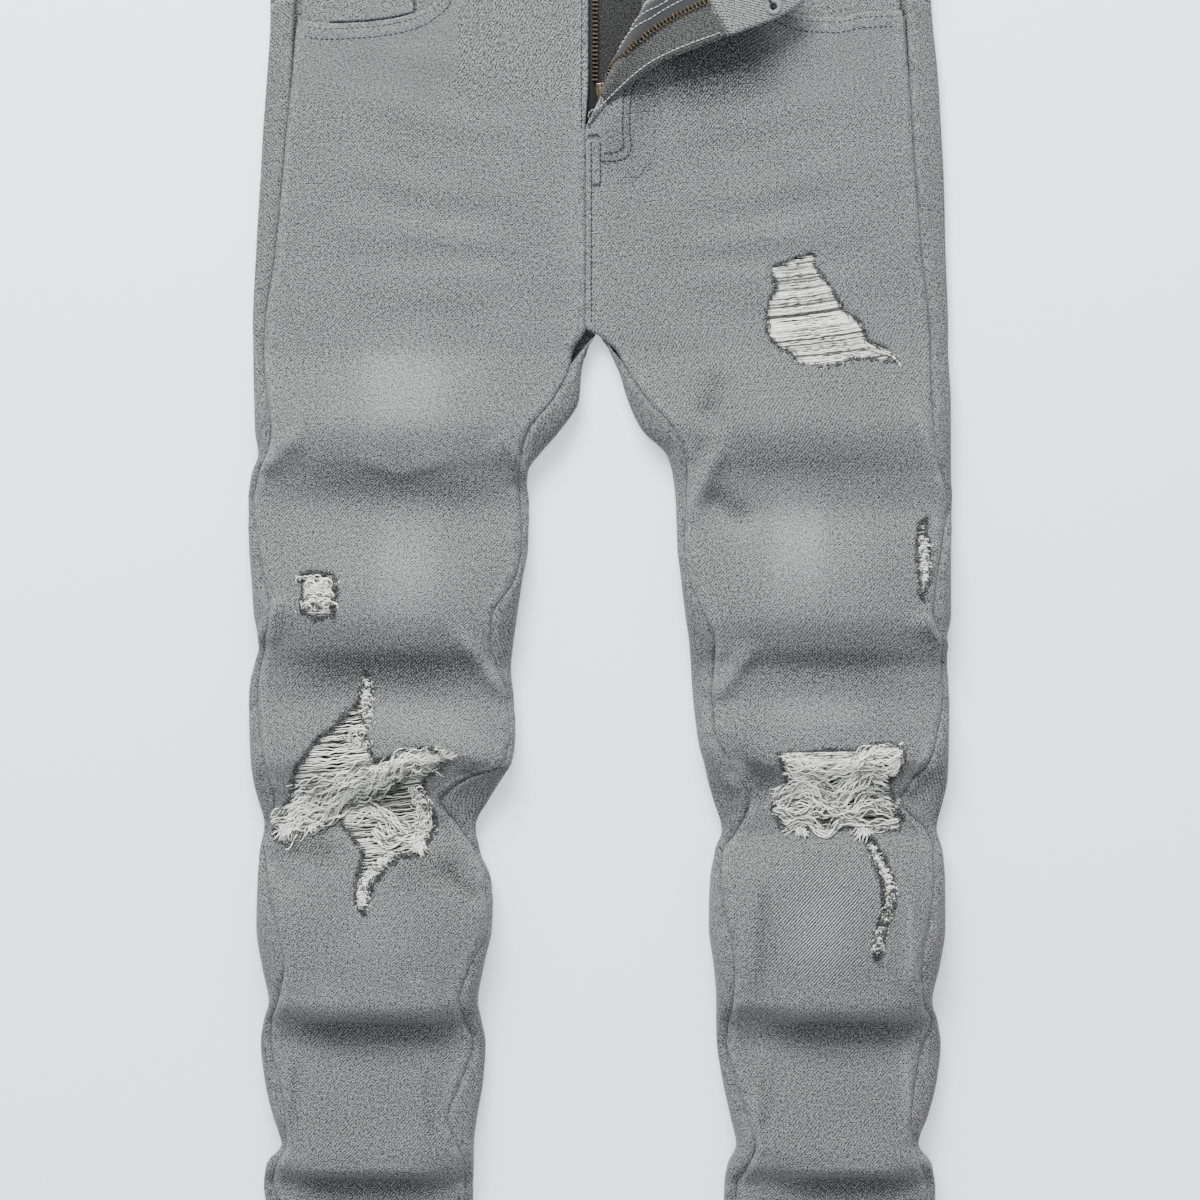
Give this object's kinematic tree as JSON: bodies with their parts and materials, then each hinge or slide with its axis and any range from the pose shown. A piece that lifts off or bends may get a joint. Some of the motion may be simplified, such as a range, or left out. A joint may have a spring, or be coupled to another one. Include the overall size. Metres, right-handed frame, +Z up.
{
  "type": "ripped jeans laid flat",
  "caption": "Slim grey ripped denim jeans lying flat, front up, with the fly open and one flap of the fly turned out, torn knees and thigh with bared weft threads.",
  "frame": {"origin": "middle of the footprint, on the surface that the jeans lie on", "axes": "+X towards the wearer's left, +Y towards the waist, +Z up off the surface"},
  "size_m": [0.4202, 0.8283, 0.0316],
  "materials": {
    "denim": "washed grey twill, faded over the thighs and knees",
    "denim_wrong_side": "inner face of the grey twill, paler",
    "weft_threads": "bared cream cotton weft threads",
    "stitching": "grey cotton-wrapped sewing thread",
    "zip_tape": "black woven tape",
    "zip_metal": "dulled antique brass",
    "button_metal": "dark antique brass"
  },
  "bodies": {
    "garment": {"front_right": "denim", "front_left": "denim", "back_right": "denim", "back_left": "denim", "yoke_right": "denim", "yoke_left": "denim", "waistband": "denim", "belt_loop_front_right": "denim", "belt_loop_front_left": "denim", "belt_loop_back_right": "denim", "belt_loop_back_middle": "denim", "belt_loop_back_left": "denim", "pocket_facing_right": "denim", "pocket_facing_left": "denim", "coin_pocket": "denim", "back_pocket_right": "denim", "back_pocket_left": "denim", "hem_right": "denim", "hem_left": "denim", "fly_shield": "denim", "fly_facing": "denim_wrong_side", "zip_tape_right": "zip_tape", "zip_tape_left": "zip_tape", "zip_teeth_right": "zip_metal", "zip_teeth_left": "zip_metal", "zip_slider": "zip_metal", "button": "button_metal", "threads_thigh_left": "weft_threads", "threads_side_left": "weft_threads", "threads_knee_left": "weft_threads", "threads_shin_left": "weft_threads", "threads_thigh_right": "weft_threads", "threads_knee_right": "weft_threads"},
    "pull_tab": {"zip_pull_tab": "zip_metal"}
  },
  "joints": [
    {"name": "pull_tab_lift", "type": "hinge", "parent": "garment", "child": "pull_tab", "pos_m": [0.0018, 0.282, 0.0099], "axis": [-1, 0, 0], "range_deg": [0, 10]}
  ]
}
